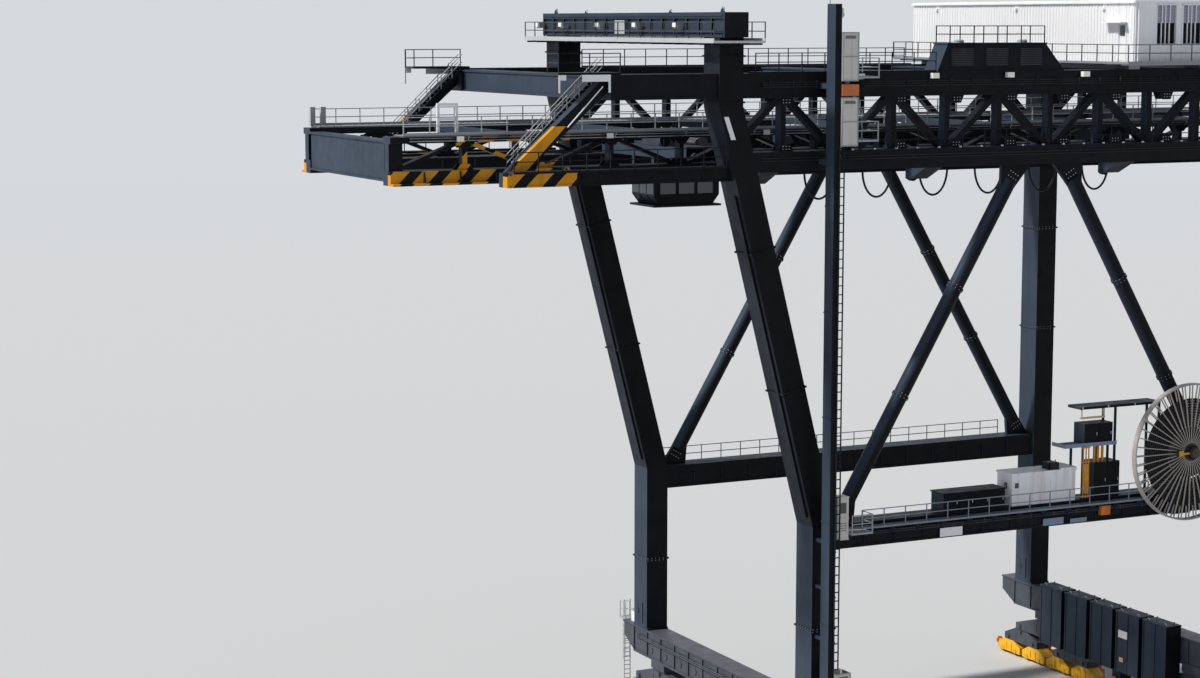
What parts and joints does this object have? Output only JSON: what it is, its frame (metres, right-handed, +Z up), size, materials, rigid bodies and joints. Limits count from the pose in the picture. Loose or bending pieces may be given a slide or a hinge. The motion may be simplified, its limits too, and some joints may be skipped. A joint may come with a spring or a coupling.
{
  "type": "rail-mounted low-profile ship-to-shore gantry crane, 1:10 scale model",
  "caption": "Rail-mounted quay gantry crane with bent landside legs, a level sliding boom, a trolley, a machinery house, a lift and a cable reel.",
  "frame": {"origin": "on the rails' top, halfway between the two rails and halfway between the near and far legs", "axes": "+X across the rails towards the water, +Y along the rails towards the far legs, +Z up"},
  "size_m": [7.98, 2.85, 4.654],
  "materials": {
    "navy_paint": "satin",
    "grey_paint": "satin",
    "yellow_paint": "satin",
    "orange_paint": "satin",
    "stripe_paint": "satin",
    "pale_paint": "satin",
    "white_paint": "satin",
    "lift_paint": "satin",
    "reel_paint": "satin",
    "wheel_steel": "worn",
    "cable_rubber": "matte"
  },
  "bodies": {
    "frame": {"sill_landside": "grey_paint", "sill_waterside": "grey_paint", "equalizers": "grey_paint", "bogie_frames": "yellow_paint", "rail_wheels": "wheel_steel", "travel_motors": "orange_paint", "end_buffers": "orange_paint", "storm_anchors": "navy_paint", "ballast_boxes": "navy_paint", "sill_cabinets": "pale_paint", "access_ladder": "pale_paint", "leg_landside_near": "navy_paint", "leg_landside_far": "navy_paint", "leg_upper_near": "navy_paint", "leg_upper_far": "navy_paint", "leg_waterside_near": "navy_paint", "leg_waterside_far": "navy_paint", "portal_beam_near": "navy_paint", "portal_beam_far": "navy_paint", "brace_near_landside": "navy_paint", "brace_near_waterside": "navy_paint", "brace_far_landside": "navy_paint", "brace_far_waterside": "navy_paint", "truss_near": "navy_paint", "truss_far": "navy_paint", "rear_beam_near": "stripe_paint", "rear_beam_far": "stripe_paint", "cross_beams": "navy_paint", "tower_beam": "navy_paint", "tower_walkway": "pale_paint", "boom_rollers": "navy_paint", "machinery_house": "white_paint", "house_walkway": "pale_paint", "machinery_box": "navy_paint", "truss_walkway": "navy_paint", "lift_mast": "navy_paint", "lift_shafts": "lift_paint", "lift_landings": "pale_paint", "portal_walkway": "pale_paint", "electrical_house": "white_paint", "drive_cabinet": "navy_paint", "reel_bracket": "navy_paint"},
    "boom": {"boom_girder_near": "navy_paint", "boom_girder_far": "navy_paint", "boom_ties": "navy_paint", "boom_deck_near": "pale_paint", "boom_deck_far": "pale_paint", "deck_frame": "white_paint", "festoon": "cable_rubber"},
    "trolley": {"trolley_frame": "navy_paint", "operator_cab": "navy_paint"},
    "reel": {"cable_reel": "reel_paint"},
    "lift": {"lift_car": "lift_paint"}
  },
  "joints": [
    {"name": "boom_shuttle", "type": "slide", "parent": "frame", "child": "boom", "axis": [1, 0, 0], "range_m": [-2.4, 1.6]},
    {"name": "trolley_travel", "type": "slide", "parent": "boom", "child": "trolley", "axis": [1, 0, 0], "range_m": [-1.7, 5.5]},
    {"name": "reel_spin", "type": "hinge", "parent": "frame", "child": "reel", "pos_m": [1.037, -1.215, 1.904], "axis": [0, 1, 0], "continuous": true},
    {"name": "lift_travel", "type": "slide", "parent": "frame", "child": "lift", "axis": [0, 0, 1], "range_m": [-1.01, 2.59]}
  ]
}
